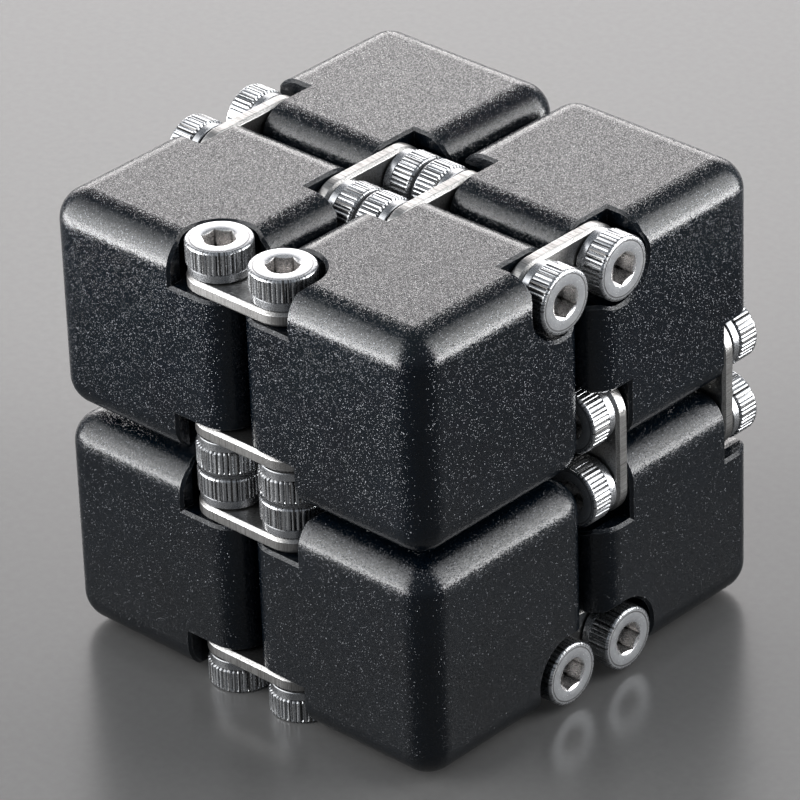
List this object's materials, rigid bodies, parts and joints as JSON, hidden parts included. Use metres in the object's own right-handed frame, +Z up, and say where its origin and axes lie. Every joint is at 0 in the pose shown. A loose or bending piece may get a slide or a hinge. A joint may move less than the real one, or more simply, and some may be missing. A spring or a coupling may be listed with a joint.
{
  "type": "fidget cube",
  "caption": "Pocket-size folding metal fidget cube: rounded blocks in a closed ring, joined by double-pivot link hinges with knurled cap screws.",
  "frame": {"origin": "middle of the footprint, at the height of the lowest screw heads, on which the closed cube stands", "axes": "+X right, +Y rear, +Z up; the two blocks joined along the vertical front edge face -Y"},
  "size_m": [0.0416, 0.0413, 0.0416],
  "materials": {
    "block_metal": "bead-blasted aluminium, anodised black",
    "plate_metal": "brushed stainless steel with tumbled edges",
    "screw_metal": "bright stainless steel with a knurled rim"
  },
  "bodies": {
    "front_left_lower_block": {"block_front_left_lower": "block_metal", "screw_lower_front_lower_left": "screw_metal", "screw_lower_front_upper_left": "screw_metal", "screw_lower_left_left_front": "screw_metal", "screw_lower_left_right_front": "screw_metal"},
    "front_left_upper_block": {"block_front_left_upper": "block_metal", "screw_upper_front_lower_left": "screw_metal", "screw_upper_front_upper_left": "screw_metal", "screw_upper_left_left_front": "screw_metal", "screw_upper_left_right_front": "screw_metal"},
    "front_right_lower_block": {"block_front_right_lower": "block_metal", "screw_lower_right_left_front": "screw_metal", "screw_lower_right_right_front": "screw_metal", "screw_lower_front_lower_right": "screw_metal", "screw_lower_front_upper_right": "screw_metal"},
    "front_right_upper_block": {"block_front_right_upper": "block_metal", "screw_upper_front_lower_right": "screw_metal", "screw_upper_front_upper_right": "screw_metal", "screw_upper_right_left_front": "screw_metal", "screw_upper_right_right_front": "screw_metal"},
    "rear_left_lower_block": {"block_rear_left_lower": "block_metal", "screw_lower_left_left_rear": "screw_metal", "screw_lower_left_right_rear": "screw_metal", "screw_middle_left_front_lower": "screw_metal", "screw_middle_left_rear_lower": "screw_metal"},
    "rear_left_upper_block": {"block_rear_left_upper": "block_metal", "screw_middle_left_front_upper": "screw_metal", "screw_middle_left_rear_upper": "screw_metal", "screw_upper_left_left_rear": "screw_metal", "screw_upper_left_right_rear": "screw_metal"},
    "rear_right_lower_block": {"block_rear_right_lower": "block_metal", "screw_middle_right_front_lower": "screw_metal", "screw_middle_right_rear_lower": "screw_metal", "screw_lower_right_left_rear": "screw_metal", "screw_lower_right_right_rear": "screw_metal"},
    "rear_right_upper_block": {"block_rear_right_upper": "block_metal", "screw_upper_right_left_rear": "screw_metal", "screw_upper_right_right_rear": "screw_metal", "screw_middle_right_front_upper": "screw_metal", "screw_middle_right_rear_upper": "screw_metal"},
    "upper_front_link": {"plate_upper_front_lower": "plate_metal", "plate_upper_front_upper": "plate_metal"},
    "upper_right_link": {"plate_upper_right_left": "plate_metal", "plate_upper_right_right": "plate_metal"},
    "middle_right_link": {"plate_middle_right_front": "plate_metal", "plate_middle_right_rear": "plate_metal"},
    "lower_right_link": {"plate_lower_right_left": "plate_metal", "plate_lower_right_right": "plate_metal"},
    "lower_front_link": {"plate_lower_front_lower": "plate_metal", "plate_lower_front_upper": "plate_metal"},
    "lower_left_link": {"plate_lower_left_left": "plate_metal", "plate_lower_left_right": "plate_metal"},
    "middle_left_link": {"plate_middle_left_front": "plate_metal", "plate_middle_left_rear": "plate_metal"},
    "upper_left_link": {"plate_upper_left_left": "plate_metal", "plate_upper_left_right": "plate_metal"}
  },
  "joints": [
    {"name": "lower_right_first_pivot", "type": "hinge", "parent": "rear_right_lower_block", "child": "lower_right_link", "pos_m": [0.0105, 0.0035, 0.0033], "axis": [1, 0, 0], "range_deg": [0, 90]},
    {"name": "lower_right_second_pivot", "type": "hinge", "parent": "lower_right_link", "child": "front_right_lower_block", "pos_m": [0.0105, -0.0035, 0.0033], "axis": [1, 0, 0], "range_deg": [0, 90]},
    {"name": "lower_front_first_pivot", "type": "hinge", "parent": "front_right_lower_block", "child": "lower_front_link", "pos_m": [0.0035, -0.0175, 0.0103], "axis": [0, 0, 1], "range_deg": [0, 90]},
    {"name": "lower_front_second_pivot", "type": "hinge", "parent": "lower_front_link", "child": "front_left_lower_block", "pos_m": [-0.0035, -0.0175, 0.0103], "axis": [0, 0, 1], "range_deg": [0, 90]},
    {"name": "lower_left_first_pivot", "type": "hinge", "parent": "front_left_lower_block", "child": "lower_left_link", "pos_m": [-0.0105, -0.0035, 0.0033], "axis": [-1, 0, 0], "range_deg": [0, 90]},
    {"name": "lower_left_second_pivot", "type": "hinge", "parent": "lower_left_link", "child": "rear_left_lower_block", "pos_m": [-0.0105, 0.0035, 0.0033], "axis": [-1, 0, 0], "range_deg": [0, 90]},
    {"name": "middle_right_first_pivot", "type": "hinge", "parent": "rear_right_lower_block", "child": "middle_right_link", "pos_m": [0.0175, 0.0105, 0.0173], "axis": [0, 1, 0], "range_deg": [0, 90]},
    {"name": "middle_right_second_pivot", "type": "hinge", "parent": "middle_right_link", "child": "rear_right_upper_block", "pos_m": [0.0175, 0.0105, 0.0243], "axis": [0, 1, 0], "range_deg": [0, 90]},
    {"name": "upper_right_first_pivot", "type": "hinge", "parent": "rear_right_upper_block", "child": "upper_right_link", "pos_m": [0.0105, 0.0035, 0.0383], "axis": [-1, 0, 0], "range_deg": [0, 90]},
    {"name": "upper_right_second_pivot", "type": "hinge", "parent": "upper_right_link", "child": "front_right_upper_block", "pos_m": [0.0105, -0.0035, 0.0383], "axis": [-1, 0, 0], "range_deg": [0, 90]},
    {"name": "upper_front_first_pivot", "type": "hinge", "parent": "front_right_upper_block", "child": "upper_front_link", "pos_m": [0.0035, -0.0175, 0.0313], "axis": [0, 0, 1], "range_deg": [0, 90]},
    {"name": "upper_front_second_pivot", "type": "hinge", "parent": "upper_front_link", "child": "front_left_upper_block", "pos_m": [-0.0035, -0.0175, 0.0313], "axis": [0, 0, 1], "range_deg": [0, 90]},
    {"name": "upper_left_first_pivot", "type": "hinge", "parent": "front_left_upper_block", "child": "upper_left_link", "pos_m": [-0.0105, -0.0035, 0.0383], "axis": [1, 0, 0], "range_deg": [0, 90]},
    {"name": "upper_left_second_pivot", "type": "hinge", "parent": "upper_left_link", "child": "rear_left_upper_block", "pos_m": [-0.0105, 0.0035, 0.0383], "axis": [1, 0, 0], "range_deg": [0, 90]},
    {"name": "middle_left_first_pivot", "type": "hinge", "parent": "rear_left_upper_block", "child": "middle_left_link", "pos_m": [-0.0175, 0.0105, 0.0243], "axis": [0, 1, 0], "range_deg": [0, 90]}
  ],
  "couplings": [
    {"joint": "upper_front_second_pivot", "follows": "upper_front_first_pivot", "ratio": 1},
    {"joint": "lower_front_first_pivot", "follows": "upper_front_first_pivot", "ratio": 1},
    {"joint": "lower_front_second_pivot", "follows": "upper_front_first_pivot", "ratio": 1},
    {"joint": "middle_right_second_pivot", "follows": "middle_right_first_pivot", "ratio": 1},
    {"joint": "middle_left_first_pivot", "follows": "middle_right_first_pivot", "ratio": 1},
    {"joint": "upper_right_second_pivot", "follows": "upper_right_first_pivot", "ratio": 1},
    {"joint": "upper_left_first_pivot", "follows": "upper_right_first_pivot", "ratio": 1},
    {"joint": "upper_left_second_pivot", "follows": "upper_right_first_pivot", "ratio": 1},
    {"joint": "lower_right_second_pivot", "follows": "lower_right_first_pivot", "ratio": 1},
    {"joint": "lower_left_first_pivot", "follows": "lower_right_first_pivot", "ratio": 1},
    {"joint": "lower_left_second_pivot", "follows": "lower_right_first_pivot", "ratio": 1}
  ]
}
